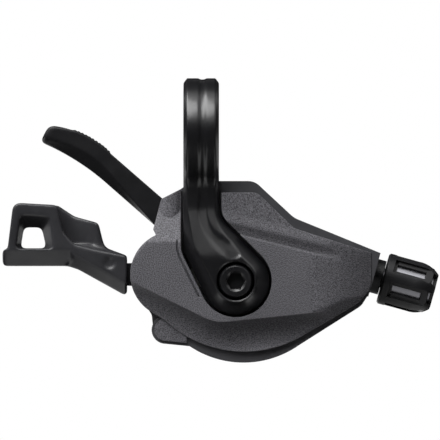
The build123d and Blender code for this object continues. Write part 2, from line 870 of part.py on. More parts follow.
with BuildPart() as rear_cover:
    with BuildSketch(at_depth(rear_outer)):
        add(rear_plan.sketch)
    extrude(amount=rear_outer - base_back)
    back_edges = rear_cover.faces().sort_by(Axis.Y)[-1].edges()
    fillet(back_edges, rear_edge)
    with BuildSketch(at_depth(rear_inner)):
        add(rear_plan.sketch)
        offset(amount=-wall)
    extrude(amount=rear_inner - base_back, mode=Mode.SUBTRACT)
    with BuildSketch(at_depth(rear_inner)):
        with Locations(*screw_places):
            Circle(post_radius)
    extrude(amount=rear_inner - base_back)
    with BuildSketch(Plane.YZ.offset(-lever_hub_radius)):
        with Locations((flange_front, lever_slot_bottom)):
            Rectangle(lever_slot_back - flange_front, -lever_slot_bottom, align=(Align.MIN, Align.MIN))
    extrude(amount=-past_side, mode=Mode.SUBTRACT)
    with BuildSketch(at_depth(leg_back + run_gap)):
        with Locations((0, -body_top)):
            Rectangle(band_width + 2 * slot_gap, 4 * wall, align=(Align.CENTER, Align.CENTER))
    extrude(amount=leg_back + run_gap - base_back, mode=Mode.SUBTRACT)
    with BuildSketch(at_depth(rear_outer)):
        with Locations(*screw_places):
            Circle(screw_radius + bolt_hole_gap)
    extrude(amount=rear_outer - base_back, mode=Mode.SUBTRACT)
    with BuildSketch(at_depth(rear_outer)):
        with Locations(*screw_places):
            Circle(screw_head_radius + bolt_hole_gap)
    extrude(amount=screw_head_height, mode=Mode.SUBTRACT)

# Cover screws
with BuildPart() as cover_screws:
    with BuildSketch(at_depth(rear_outer)):
        with Locations(*screw_places):
            Circle(screw_head_radius)
    extrude(amount=screw_head_height)
    with BuildSketch(at_depth(rear_outer)):
        with Locations(*screw_places):
            Circle(screw_radius)
    extrude(amount=rear_outer - base_back + screw_grip)

# Main axle with its flange and clip groove
with BuildPart() as main_axle:
    with BuildSketch(at_depth(axle_back)):
        with Locations(axle):
            Circle(axle_radius)
    extrude(amount=axle_back - base_front)
    with BuildSketch(at_depth(flange_back)):
        with Locations(axle):
            Circle(axle_flange_radius)
    extrude(amount=axle_flange_thickness)
    with BuildSketch(at_depth(clip_back)):
        with Locations(axle):
            Circle(axle_radius)
            Circle(axle_radius - clip_groove_depth, mode=Mode.SUBTRACT)
    extrude(amount=clip_thickness, mode=Mode.SUBTRACT)

# Axle clip, open on one side
with BuildPart() as axle_clip:
    with BuildSketch(at_depth(clip_back)):
        with Locations(axle):
            Circle(clip_radius)
            Circle(axle_radius - clip_groove_depth, mode=Mode.SUBTRACT)
        with Locations(axle):
            Rectangle(
                clip_opening, 2 * clip_radius, align=(Align.CENTER, Align.MAX), mode=Mode.SUBTRACT
            )
    extrude(amount=clip_thickness)

# Thrust washers
with BuildPart() as thrust_washers:
    for washer_back in [index_front - run_gap, main_plate_front - run_gap, spring_front - run_gap]:
        with BuildSketch(at_depth(washer_back)):
            with Locations(axle):
                Circle(washer_radius)
                Circle(axle_radius + shaft_gap, mode=Mode.SUBTRACT)
        extrude(amount=washer_thickness)


def saw_teeth(last_angle, count):
    """Corners of saw teeth that rise at once and fall away over one pitch, up to the last angle."""
    corners = []
    for step in range(1 - count, 1):
        angle = last_angle + step * index_pitch
        corners.append(round_axle(wheel_radius - tooth_depth, angle))
        corners.append(round_axle(wheel_radius, angle))
    return corners


def pawl_outline(pivot_angle):
    """Sketch of a pawl drawn in its engaged place and lifted off the teeth about its pin."""
    pivot = round_axle(pawl_pivot_radius, pivot_angle)
    tip = pivot_angle + pawl_reach
    gap = degrees(pawl_tip_gap / wheel_radius)
    root = wheel_radius - tooth_depth + pawl_tip_gap
    heel = root + tooth_depth * pawl_tip_angle / index_pitch
    corners = [
        round_axle(pawl_pivot_radius, pivot_angle),
        round_axle(pawl_pivot_radius, tip - pawl_reach / 2),
        round_axle(pawl_inner_radius, tip - gap),
        round_axle(root, tip - gap),
        round_axle(heel, tip - gap - pawl_tip_angle),
        round_axle(pawl_inner_radius, tip - gap - pawl_back_share * pawl_tip_angle),
        round_axle(pawl_inner_radius, tip - pawl_reach / 2),
        round_axle(pawl_inner_radius, pivot_angle),
    ]
    with BuildSketch() as outline:
        with BuildLine():
            Polyline(*[turned(corner, pivot, -pawl_lift) for corner in corners], close=True)
        make_face()
        with Locations(pivot):
            Circle(pawl_boss_radius)
            Circle(pawl_pin_radius + shaft_gap, mode=Mode.SUBTRACT)
    return outline.sketch


def coil_spring(centre, pin_radius, wire, front, back, leg):
    """Square-wire torsion spring round a pin, with a straight leg at each end."""
    rise = back - front - wire
    with BuildPart() as spring:
        with BuildLine() as path:
            Helix(
                pitch=rise / coil_turns, height=rise, radius=pin_radius + spring_gap + wire / 2,
                center=(0, front + wire / 2, 0), direction=(0, 1, 0),
            )
        coil = path.wire()
        outward = [Vector(place.X, 0, place.Z) for place in (coil @ 0, coil @ 1)]
        with BuildSketch(Plane(origin=coil @ 0, x_dir=outward[0], z_dir=coil % 0)):
            Rectangle(wire, wire)
        sweep(path=coil, is_frenet=True)
        level = [Vector(way.X, 0, way.Z) for way in (coil % 0, coil % 1)]
        with BuildSketch(Plane(origin=coil @ 0, x_dir=outward[0], z_dir=level[0])):
            Rectangle(wire, wire)
        extrude(amount=-leg)
        with BuildSketch(Plane(origin=coil @ 1, x_dir=outward[1], z_dir=level[1])):
            Rectangle(wire, wire)
        extrude(amount=leg)
    return spring.part.moved(Location((centre[0], 0, centre[1])))


# Cable spool: grooved disc with a recess for its spring and a pocket for the cable's end
with BuildPart() as cable_spool:
    with BuildSketch(Plane.XY.offset(axle_z)):
        with BuildLine():
            Polyline(
                (axle_x, index_back),
                (axle_x + spool_radius + spool_lip, index_back),
                (axle_x + spool_radius + spool_lip, index_back + spool_lip_edge),
                (axle_x + spool_radius - cable_radius, cable_depth - cable_radius / 2),
                (axle_x + spool_radius - cable_radius, cable_depth + cable_radius / 2),
                (axle_x + spool_radius + spool_lip, spool_back - spool_lip_edge),
                (axle_x + spool_radius + spool_lip, spool_back),
                (axle_x, spool_back),
                close=True,
            )
        make_face()
    revolve(axis=Axis((axle_x, 0, axle_z), (0, 1, 0)))
    with BuildSketch(at_depth(spool_back - spool_web)):
        with Locations(axle):
            Circle(spring_recess_radius)
    extrude(amount=spool_thickness, mode=Mode.SUBTRACT)
    with BuildSketch(at_depth(spool_back)):
        with Locations(axle):
            Circle(axle_radius + shaft_gap)
    extrude(amount=spool_thickness, mode=Mode.SUBTRACT)
    with BuildSketch(at_depth(spool_back - spool_web)):
        with Locations(round_axle(spool_radius, 90 - cable_tilt)):
            Circle(nipple_radius)
    extrude(amount=spool_thickness, mode=Mode.SUBTRACT)

# Spool spring: flat strip wound between the axle and the spool
spiral_start = axle_radius + strip_thickness
spiral_step = (spring_recess_radius - axle_radius - 2 * strip_thickness) / (2 * spiral_turns)
with BuildPart() as spool_spring:
    with BuildSketch(at_depth(spool_back - spool_web - run_gap)):
        with BuildLine() as spiral:
            for half in range(2 * spiral_turns):
                side = 1 - 2 * (half % 2)
                inner = spiral_start + half * spiral_step
                outer = inner + spiral_step
                ThreePointArc(
                    (axle_x + side * inner, axle_z),
                    (axle_x - side * spiral_step / 2, axle_z + side * (inner + outer) / 2),
                    (axle_x - side * outer, axle_z),
                )
        trace(spiral.edges(), line_width=strip_thickness)
    extrude(amount=spool_thickness - spool_web - 2 * run_gap)

# Index wheel: one tooth for each gear, then a plain rim
index_first = hold_pawl_angle + pawl_reach
index_rim = wheel_radius - tooth_depth
with BuildPart() as index_wheel:
    with BuildSketch(at_depth(index_back)):
        with BuildLine():
            Polyline(
                *saw_teeth(index_first, index_steps + 1), round_axle(index_rim, index_first + index_pitch)
            )
            ThreePointArc(
                round_axle(index_rim, index_first + index_pitch),
                round_axle(index_rim, index_first + index_pitch + 90 - index_pitch),
                round_axle(index_rim, index_first - index_steps * index_pitch),
            )
        make_face()
        with Locations(axle):
            Circle(axle_radius + shaft_gap, mode=Mode.SUBTRACT)
    extrude(amount=index_thickness)

# Ratchet wheel: teeth all round
with BuildPart() as ratchet_wheel:
    with BuildSketch(at_depth(ratchet_back)):
        with BuildLine():
            Polyline(*saw_teeth(drive_pawl_angle + pawl_reach, round(360 / index_pitch)), close=True)
        make_face()
        with Locations(axle):
            Circle(axle_radius + shaft_gap, mode=Mode.SUBTRACT)
    extrude(amount=ratchet_thickness)

# Hold pawl on its pin in the base bracket
with BuildPart() as hold_pawl:
    with BuildSketch(at_depth(index_back)):
        add(pawl_outline(hold_pawl_angle))
    extrude(amount=index_thickness)

with BuildPart() as hold_pawl_pin:
    with BuildSketch(at_depth(index_back + pin_end)):
        with Locations(hold_pin):
            Circle(pawl_pin_radius)
    extrude(amount=index_back + pin_end - base_front)
    with BuildSketch(at_depth(index_front - run_gap)):
        with Locations(hold_pin):
            Circle(pawl_boss_radius)
    extrude(amount=pin_flange)

# Main lever: steel plate with a hub, an arm and an ear for the drive pawl
lever_along = (cos(radians(lever_angle)), sin(radians(lever_angle)))
lever_inner = (lever_root_x - lever_inside * lever_along[0], lever_root_z - lever_inside * lever_along[1])
lever_outer = (lever_root_x + lever_core * lever_along[0], lever_root_z + lever_core * lever_along[1])
drive_pin = round_axle(pawl_pivot_radius, drive_pawl_angle)
with BuildPart() as main_lever_plate:
    with BuildSketch(at_depth(main_plate_back)):
        with Locations(axle):
            Circle(lever_hub_radius)
        with Locations(((lever_inner[0] + lever_outer[0]) / 2, (lever_inner[1] + lever_outer[1]) / 2)):
            Rectangle(lever_inside + lever_core, main_arm_width, rotation=lever_angle)
        with Locations(round_axle(pawl_pivot_radius / 2, drive_pawl_angle)):
            Rectangle(pawl_pivot_radius, 2 * pawl_boss_radius, rotation=drive_pawl_angle)
        with Locations(drive_pin):
            Circle(pawl_boss_radius)
            Circle(pawl_pin_radius + seat_gap, mode=Mode.SUBTRACT)
        with Locations(axle):
            Circle(axle_radius + shaft_gap, mode=Mode.SUBTRACT)
    extrude(amount=main_plate_thickness)

# Main lever paddle: a bevelled front and a flaring back, with ribs across the thumb face
thumb_start = (thumb_root_x, thumb_root_z)
thumb_end = (paddle_tip_x + thumb_tip_inset, paddle_tip_z + thumb_tip_height)
thumb_middle = ((thumb_start[0] + thumb_end[0]) / 2, (thumb_start[1] + thumb_end[1]) / 2 + thumb_rise)
paddle_root = (lever_root_x - paddle_root_in * lever_along[0], lever_root_z - paddle_root_in * lever_along[1])
paddle_top = (
    paddle_root[0] + paddle_root_top * lever_along[1], paddle_root[1] - paddle_root_top * lever_along[0]
)
paddle_heel = (
    paddle_root[0] - paddle_root_heel * lever_along[1], paddle_root[1] + paddle_root_heel * lever_along[0]
)
with BuildLine() as thumb_line:
    thumb_arc = ThreePointArc(thumb_start, thumb_middle, thumb_end)


def paddle_outline(tip, belly, knee):
    """Outline of the paddle, with its lower edge through these three points."""
    with BuildSketch() as outline:
        with BuildLine():
            add(thumb_line.line)
            Line(thumb_end, tip)
            ThreePointArc(tip, belly, knee)
            Polyline(knee, paddle_heel, paddle_top, thumb_start)
        make_face()
        fillet(outline.vertices().sort_by_distance((*thumb_end, 0))[0], paddle_tip_round)
        fillet(outline.vertices().sort_by_distance((*tip, 0))[0], paddle_toe_round)
    return outline.sketch


whole_paddle = paddle_outline(
    (paddle_tip_x, paddle_tip_z), (paddle_belly_x, paddle_belly_z), (paddle_knee_x, paddle_knee_z)
)
paddle_face = paddle_outline(
    (paddle_tip_x + paddle_tip_inset, paddle_tip_z + paddle_tip_inset),
    (paddle_belly_x, paddle_belly_z + paddle_bevel_width),
    (paddle_knee_x, paddle_knee_z + paddle_bevel_width),
)
with BuildPart() as main_lever_paddle:
    with BuildSketch(at_depth(paddle_back_depth)):
        add(whole_paddle)
    extrude(amount=paddle_back_depth - paddle_front - paddle_bevel)
    with BuildSketch(at_depth(paddle_front + paddle_bevel)):
        add(whole_paddle)
    with BuildSketch(at_depth(paddle_front)):
        add(paddle_face)
    loft()
    lever_plane = Plane(
        origin=(lever_root_x, 0, lever_root_z),
        x_dir=(lever_along[0], 0, lever_along[1]),
        z_dir=(lever_along[1], 0, -lever_along[0]),
    )
    with BuildSketch(lever_plane):
        with BuildLine():
            Polyline(
                (-flare_start, -paddle_front),
                (past_cover, -paddle_front),
                (past_cover, -paddle_back_depth),
                (flare_end, -paddle_back_depth),
                (flare_start, -paddle_root_back),
                (-flare_start, -paddle_root_back),
                close=True,
            )
        make_face()
    extrude(amount=past_side, both=True, mode=Mode.INTERSECT)
    with BuildSketch(at_depth(paddle_back_depth - rib_margin)):
        for rib in range(rib_count):
            with Locations(thumb_arc @ ((rib + 0.5) * rib_pitch / thumb_arc.length)):
                Circle(rib_radius)
    extrude(amount=paddle_back_depth - paddle_front - 2 * rib_margin)
    add(main_lever_plate.part, mode=Mode.SUBTRACT)

# Drive pawl on its pin in the main lever plate
with BuildPart() as drive_pawl:
    with BuildSketch(at_depth(ratchet_back)):
        add(pawl_outline(drive_pawl_angle))
    extrude(amount=ratchet_thickness)

with BuildPart() as drive_pawl_pin:
    with BuildSketch(at_depth(main_plate_back + pawl_spring_length)):
        with Locations(drive_pin):
            Circle(pawl_pin_radius)
    extrude(amount=main_plate_back + pawl_spring_length - spool_back + pin_end)

# Release lever: steel plate and windowed paddle
with BuildPart() as release_lever_plate:
    with BuildSketch(at_depth(release_plate_back)):
        with Locations(axle):
            Circle(lever_hub_radius)
        with BuildLine():
            Polyline(
                (0, axle_z + release_arm_width / 2),
                (release_inner_x - plate_neck_top, axle_z + release_arm_width / 2 - plate_top_inset),
                (plate_end_x, plate_end_top),
                (plate_end_x, plate_end_bottom),
                (release_inner_x - plate_neck_bottom, axle_z - release_arm_width / 2 + plate_bottom_inset),
                (0, axle_z - release_arm_width / 2),
                close=True,
            )
        make_face()
        with Locations(axle):
            Circle(axle_radius + shaft_gap, mode=Mode.SUBTRACT)
    extrude(amount=release_plate_thickness)
    with BuildSketch(at_depth(release_plate_front)):
        with Locations(release_tab):
            Circle(release_post_radius)
    extrude(amount=release_plate_front - base_back - spring_gap)

# Release lever: paddle, with the arm and the pad below and the window's frame and the scooped wing above
web_back = release_front_depth + release_web
facet_turn = degrees(atan2(arm_end_bottom[1] - arm_heel[1], arm_end_bottom[0] - arm_heel[0]))
facet_along = (cos(radians(facet_turn)), 0, sin(radians(facet_turn)))
facet_across = (-sin(radians(facet_turn)), 0, cos(radians(facet_turn)))
with BuildPart() as release_lever_paddle:
    with BuildSketch(at_depth(release_back_depth)):
        add(rounded(lower_edge + wing_edge, lower_rounds + wing_rounds))
    extrude(amount=release_back_depth - web_back)
    with Locations((scoop_x, scoop_depth, scoop_bottom)):
        Cylinder(
            scoop_radius, past_side, align=(Align.CENTER, Align.CENTER, Align.MIN), mode=Mode.SUBTRACT
        )
    with BuildSketch(at_depth(web_back)):
        add(rounded(lower_edge + frame_edge, lower_rounds + frame_rounds))
    extrude(amount=release_web)
    with BuildSketch(Plane.YZ.offset(pad_tip - past_face)):
        with BuildLine():
            Polyline(
                (release_front_depth, pad_top),
                (release_front_depth + pad_slant, pad_bottom),
                (release_front_depth + pad_slant, pad_bottom - past_face),
                (release_front_depth - past_face, pad_bottom - past_face),
                (release_front_depth - past_face, pad_top),
                close=True,
            )
        make_face()
    extrude(amount=pad_facet_end - pad_tip + past_face, mode=Mode.SUBTRACT)
    with BuildSketch(at_depth(release_front_depth)):
        add(rounded(window_front, window_rounds))
    with BuildSketch(at_depth(web_back)):
        add(rounded(window_back, window_rounds))
    loft(mode=Mode.SUBTRACT)
    facet_origin = Vector(arm_heel[0], release_front_depth, arm_heel[1])
    facet_origin -= facet_lead * Vector(*facet_along)
    with BuildSketch(Plane(origin=facet_origin, x_dir=facet_across, z_dir=facet_along)):
        with BuildLine():
            Polyline(
                (facet_width, 0),
                (facet_width, past_face),
                (-facet_width, past_face),
                (-facet_width, -2 * facet_depth),
                close=True,
            )
        make_face()
    extrude(amount=past_side, mode=Mode.SUBTRACT)
    with BuildSketch(at_depth(release_front_depth + dimple_depth)):
        with Locations((dimple_x, dimple_z)):
            Circle(dimple_radius)
    extrude(amount=dimple_depth, mode=Mode.SUBTRACT)
    add(release_lever_plate.part, mode=Mode.SUBTRACT)

# Adjuster nut, collar, knob and bolt on the cable line
cable_axis = Axis(cable_plane(0).origin, (cable_along[0], 0, cable_along[1]))


def beside_cable(along):
    """Plane through the cable line: its x is the radius and its y runs out along the cable."""
    return Plane(
        origin=cable_plane(along).origin, x_dir=(0, -1, 0), z_dir=(cable_across[0], 0, cable_across[1])
    )


with BuildPart() as adjuster_nut:
    with BuildSketch(cable_plane(boss_end - socket_depth)):
        Circle(nut_radius)
        Circle(thread_radius + shaft_gap, mode=Mode.SUBTRACT)
    extrude(amount=-nut_length)

with BuildPart() as adjuster_collar:
    with BuildSketch(cable_plane(knob_start - 2 * run_gap)):
        Circle(collar_radius)
        Circle(thread_radius + bolt_hole_gap, mode=Mode.SUBTRACT)
    extrude(amount=-collar_length)

with BuildPart() as adjuster_bolt:
    with BuildSketch(beside_cable(knob_start)):
        with BuildLine():
            Polyline(
                (cable_radius + cable_hole_gap, -bolt_tail),
                (thread_radius, -bolt_tail),
                (thread_radius, knob_wall),
                (knob_bolt_radius, knob_wall),
                (knob_bolt_radius, knob_length - bolt_end_length),
                (bolt_end_radius, knob_length - bolt_end_length),
                (bolt_end_radius, knob_length - knob_wall),
                (casing_radius, knob_length - knob_wall),
                (casing_radius, knob_length - knob_wall - casing_depth),
                (cable_radius + cable_hole_gap, knob_length - knob_wall - casing_depth),
                close=True,
            )
        make_face()
    revolve(axis=cable_axis)

with BuildPart() as adjuster_knob:
    with BuildSketch(beside_cable(knob_start)):
        with BuildLine():
            Polyline(
                (knob_end_radius, knob_length),
                (casing_radius + bolt_hole_gap, knob_length),
                (casing_radius + bolt_hole_gap, knob_length - knob_wall),
                (bolt_end_radius + seat_gap, knob_length - knob_wall),
                (bolt_end_radius + seat_gap, knob_length - bolt_end_length),
                (knob_bolt_radius + seat_gap, knob_length - bolt_end_length),
                (knob_bolt_radius + seat_gap, knob_wall),
                (thread_radius + shaft_gap, knob_wall),
                (thread_radius + shaft_gap, 0),
                (knob_radius - knob_edge, 0),
                (knob_radius, knob_edge),
                (knob_radius, knob_straight),
            )
            ThreePointArc(
                (knob_radius, knob_straight),
                ((knob_radius + knob_end_radius) / 2 + knob_barrel, (knob_straight + knob_length) / 2),
                (knob_end_radius, knob_length),
            )
        make_face()
    revolve(axis=cable_axis)
    valley_angle = knob_phase + 180 / knob_ribs
    with BuildSketch(cable_plane(knob_start + knob_ring)):
        with PolarLocations(knob_radius, knob_ribs, start_angle=valley_angle):
            Rectangle(2 * knob_valley_depth, knob_valley_width)
    extrude(amount=knob_length, mode=Mode.SUBTRACT)
    with BuildSketch(cable_plane(knob_start + knob_ring)):
        with PolarLocations(knob_radius, knob_ribs, start_angle=valley_angle):
            Rectangle(2 * knob_slot_depth, knob_valley_width)
    extrude(amount=knob_slot_width, mode=Mode.SUBTRACT)
    with BuildSketch(cable_plane(knob_start + knob_ring + knob_slot_width)):
        with PolarLocations(knob_radius, knob_ribs, start_angle=valley_angle):
            Rectangle(2 * (knob_radius - knob_bolt_radius + knob_wall), knob_window_width)
    extrude(amount=knob_window_length, mode=Mode.SUBTRACT)
    with BuildSketch(cable_plane(knob_start + knob_length)):
        with PolarLocations(knob_radius, knob_ribs, start_angle=valley_angle):
            Rectangle(2 * (knob_radius - casing_radius - knob_wall), knob_tooth_gap)
    extrude(amount=-knob_tooth_length, mode=Mode.SUBTRACT)

# Springs: one round the axle, one round the post of the base and one round each pawl's pin
with BuildPart() as main_return_spring:
    add(coil_spring(
        axle, axle_radius, main_wire, spring_front + spring_gap, clip_front - spring_gap, main_spring_leg
    ))

with BuildPart() as release_return_spring:
    add(coil_spring(
        release_post, release_post_radius, release_wire, base_back + 2 * spring_gap, leg_back - spring_gap,
        release_spring_leg
    ))

with BuildPart() as hold_pawl_spring:
    add(coil_spring(
        hold_pin, pawl_pin_radius, pawl_wire, hold_flange_front - pawl_spring_length,
        hold_flange_front - spring_gap, pawl_spring_leg
    ))

with BuildPart() as drive_pawl_spring:
    add(coil_spring(
        drive_pin, pawl_pin_radius, pawl_wire, main_plate_back + spring_gap,
        main_plate_back + pawl_spring_length, pawl_spring_leg
    ))

# Finished pieces
clamp_band.part.label = "clamp_band"
clamp_bolt.part.label = "clamp_bolt"
front_cover.part.label = "front_cover"
base_bracket.part.label = "base_bracket"
rear_cover.part.label = "rear_cover"
cover_screws.part.label = "cover_screws"
main_axle.part.label = "main_axle"
axle_clip.part.label = "axle_clip"
thrust_washers.part.label = "thrust_washers"
cable_spool.part.label = "cable_spool"
spool_spring.part.label = "spool_spring"
index_wheel.part.label = "index_wheel"
ratchet_wheel.part.label = "ratchet_wheel"
hold_pawl.part.label = "hold_pawl"
hold_pawl_pin.part.label = "hold_pawl_pin"
hold_pawl_spring.part.label = "hold_pawl_spring"
main_lever_plate.part.label = "main_lever_plate"
main_lever_paddle.part.label = "main_lever_paddle"
main_return_spring.part.label = "main_return_spring"
drive_pawl.part.label = "drive_pawl"
drive_pawl_pin.part.label = "drive_pawl_pin"
drive_pawl_spring.part.label = "drive_pawl_spring"
release_lever_plate.part.label = "release_lever_plate"
release_lever_paddle.part.label = "release_lever_paddle"
release_return_spring.part.label = "release_return_spring"
adjuster_nut.part.label = "adjuster_nut"
adjuster_collar.part.label = "adjuster_collar"
adjuster_bolt.part.label = "adjuster_bolt"
adjuster_knob.part.label = "adjuster_knob"

export_step(clamp_band.part, "parts/clamp_band.step")
export_step(clamp_bolt.part, "parts/clamp_bolt.step")
export_step(front_cover.part, "parts/front_cover.step")
export_step(base_bracket.part, "parts/base_bracket.step")
export_step(rear_cover.part, "parts/rear_cover.step")
export_step(cover_screws.part, "parts/cover_screws.step")
export_step(main_axle.part, "parts/main_axle.step")
export_step(axle_clip.part, "parts/axle_clip.step")
export_step(thrust_washers.part, "parts/thrust_washers.step")
export_step(cable_spool.part, "parts/cable_spool.step")
export_step(spool_spring.part, "parts/spool_spring.step")
export_step(index_wheel.part, "parts/index_wheel.step")
export_step(ratchet_wheel.part, "parts/ratchet_wheel.step")
export_step(hold_pawl.part, "parts/hold_pawl.step")
export_step(hold_pawl_pin.part, "parts/hold_pawl_pin.step")
export_step(hold_pawl_spring.part, "parts/hold_pawl_spring.step")
export_step(main_lever_plate.part, "parts/main_lever_plate.step")
export_step(main_lever_paddle.part, "parts/main_lever_paddle.step")
export_step(main_return_spring.part, "parts/main_return_spring.step")
export_step(drive_pawl.part, "parts/drive_pawl.step")
export_step(drive_pawl_pin.part, "parts/drive_pawl_pin.step")
export_step(drive_pawl_spring.part, "parts/drive_pawl_spring.step")
export_step(release_lever_plate.part, "parts/release_lever_plate.step")
export_step(release_lever_paddle.part, "parts/release_lever_paddle.step")
export_step(release_return_spring.part, "parts/release_return_spring.step")
export_step(adjuster_nut.part, "parts/adjuster_nut.step")
export_step(adjuster_collar.part, "parts/adjuster_collar.step")
export_step(adjuster_bolt.part, "parts/adjuster_bolt.step")
export_step(adjuster_knob.part, "parts/adjuster_knob.step")
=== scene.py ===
"""Looks, light and camera for the trigger gear shifter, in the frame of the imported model."""

import json
import math

import bmesh
import bpy
from mathutils import Matrix, Vector

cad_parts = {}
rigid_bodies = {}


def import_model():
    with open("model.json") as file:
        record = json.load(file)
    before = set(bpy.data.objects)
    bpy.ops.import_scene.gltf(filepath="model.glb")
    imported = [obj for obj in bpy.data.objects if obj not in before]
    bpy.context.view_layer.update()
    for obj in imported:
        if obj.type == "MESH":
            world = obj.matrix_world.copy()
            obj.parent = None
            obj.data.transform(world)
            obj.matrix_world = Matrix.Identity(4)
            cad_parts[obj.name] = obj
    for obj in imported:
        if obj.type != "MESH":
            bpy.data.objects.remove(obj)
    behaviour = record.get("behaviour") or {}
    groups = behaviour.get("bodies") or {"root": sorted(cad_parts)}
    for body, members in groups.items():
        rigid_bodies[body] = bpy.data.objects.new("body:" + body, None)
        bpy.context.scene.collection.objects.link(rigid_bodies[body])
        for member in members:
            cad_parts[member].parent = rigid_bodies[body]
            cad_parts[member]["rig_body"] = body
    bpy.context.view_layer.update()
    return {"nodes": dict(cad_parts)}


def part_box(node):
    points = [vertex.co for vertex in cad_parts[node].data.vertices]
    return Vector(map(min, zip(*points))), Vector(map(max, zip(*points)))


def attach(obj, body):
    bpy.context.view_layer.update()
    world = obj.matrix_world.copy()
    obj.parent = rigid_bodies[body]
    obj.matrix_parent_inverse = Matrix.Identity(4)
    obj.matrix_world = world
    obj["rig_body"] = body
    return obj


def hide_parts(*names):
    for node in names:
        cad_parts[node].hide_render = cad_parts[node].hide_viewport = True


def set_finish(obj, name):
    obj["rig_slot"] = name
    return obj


# Lengths are in metres, except where a name or a comment says millimetres
MM = 0.001

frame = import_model()
nodes = frame["nodes"]
scene = bpy.context.scene

# Camera: straight from the front with a very long lens, so that nothing converges
CAMERA_DISTANCE = 2.6
PICTURE_WIDTH = 0.110
LOOK_AT = Vector((4.69 * MM, 0.0, -21.75 * MM))
SENSOR_MM = 36.0

camera_data = bpy.data.cameras.new("camera")
camera_data.sensor_width = SENSOR_MM
camera_data.lens = SENSOR_MM * CAMERA_DISTANCE / PICTURE_WIDTH
camera = bpy.data.objects.new("camera", camera_data)
scene.collection.objects.link(camera)
camera.location = LOOK_AT + Vector((0.0, -CAMERA_DISTANCE, 0.0))
camera.rotation_euler = (math.radians(90.0), 0.0, 0.0)
scene.camera = camera
scene.view_settings.view_transform = "Standard"


# Shader node helpers
def add(tree, kind, **settings):
    """A new node of the tree, with its settings."""
    node = tree.nodes.new(kind)
    for key, value in settings.items():
        setattr(node, key, value)
    return node


def join(tree, kind, first, second, **settings):
    """A node that takes two others in its first two sockets; gives its first output."""
    node = add(tree, kind, **settings)
    tree.links.new(first, node.inputs[0])
    tree.links.new(second, node.inputs[1])
    return node.outputs[0]


def larger(tree, first, second):
    return join(tree, "ShaderNodeMath", first, second, operation="MAXIMUM")


def product(tree, first, second):
    return join(tree, "ShaderNodeMath", first, second, operation="MULTIPLY")


def carry(tree, value, source=(0.0, 1.0), target=(0.0, 1.0), **settings):
    """The value carried from the source range over to the target range."""
    node = add(tree, "ShaderNodeMapRange", **settings)
    node.inputs["From Min"].default_value, node.inputs["From Max"].default_value = source
    node.inputs["To Min"].default_value, node.inputs["To Max"].default_value = target
    tree.links.new(value, node.inputs["Value"])
    return node.outputs["Result"]


def noise(tree, place, size_mm, detail):
    """Noise from 0 to 1 whose features are about this size."""
    node = add(tree, "ShaderNodeTexNoise")
    node.inputs["Scale"].default_value = 1.0 / (size_mm * MM)
    node.inputs["Detail"].default_value = detail
    tree.links.new(place, node.inputs["Vector"])
    return node.outputs["Fac"]


def sees_background(tree):
    """1 for rays that show the background: from the camera, off gloss and through glass."""
    path = add(tree, "ShaderNodeLightPath").outputs
    shown = larger(tree, path["Is Camera Ray"], path["Is Glossy Ray"])
    return larger(tree, shown, path["Is Transmission Ray"])


# World: soft light all round, white where it is seen
WORLD_LIGHT = 0.05
BACKGROUND_WHITE = 1.0

world = bpy.data.worlds.new("studio")
scene.world = world
world.use_nodes = True
tree = world.node_tree
tree.nodes.clear()
background = add(tree, "ShaderNodeBackground")
background.inputs["Color"].default_value = (1.0, 1.0, 1.0, 1.0)
level = carry(tree, sees_background(tree), target=(WORLD_LIGHT, BACKGROUND_WHITE))
tree.links.new(level, background.inputs["Strength"])
world_out = add(tree, "ShaderNodeOutputWorld")
tree.links.new(background.outputs[0], world_out.inputs["Surface"])

# Floor: pale, lifted to white where it is seen, and it keeps the shadow. Beyond the shadow's
# reach it fades into the background
FLOOR_HEIGHT = -0.095
FLOOR_SIZE = 8.0
FLOOR_COLOUR = (0.16, 0.16, 0.16, 1.0)
FLOOR_LIFT = 0.80
SHADOW_REACH = (0.12, 0.45)

bpy.ops.mesh.primitive_plane_add(size=FLOOR_SIZE, location=(0.0, 0.0, FLOOR_HEIGHT))
floor = bpy.context.object
floor.name = "floor"
floor_paint = bpy.data.materials.new("floor_paint")
floor_paint.use_nodes = True
tree = floor_paint.node_tree
tree.nodes.clear()
seen = sees_background(tree)
matt = add(tree, "ShaderNodeBsdfDiffuse")
matt.inputs["Color"].default_value = FLOOR_COLOUR
glow = add(tree, "ShaderNodeEmission")
tree.links.new(carry(tree, seen, target=(0.0, FLOOR_LIFT)), glow.inputs["Strength"])
lifted = join(tree, "ShaderNodeAddShader", matt.outputs[0], glow.outputs[0])
floor_place = add(tree, "ShaderNodeTexCoord").outputs["Object"]
distance = add(tree, "ShaderNodeVectorMath", operation="LENGTH")
tree.links.new(floor_place, distance.inputs[0])
fade = carry(tree, distance.outputs["Value"], SHADOW_REACH, interpolation_type="SMOOTHSTEP")
white = add(tree, "ShaderNodeEmission")
white.inputs["Strength"].default_value = BACKGROUND_WHITE
faded = add(tree, "ShaderNodeMixShader")
tree.links.new(product(tree, fade, seen), faded.inputs["Fac"])
tree.links.new(lifted, faded.inputs[1])
tree.links.new(white.outputs[0], faded.inputs[2])
floor_out = add(tree, "ShaderNodeOutputMaterial")
tree.links.new(faded.outputs[0], floor_out.inputs["Surface"])
floor.data.materials.append(floor_paint)

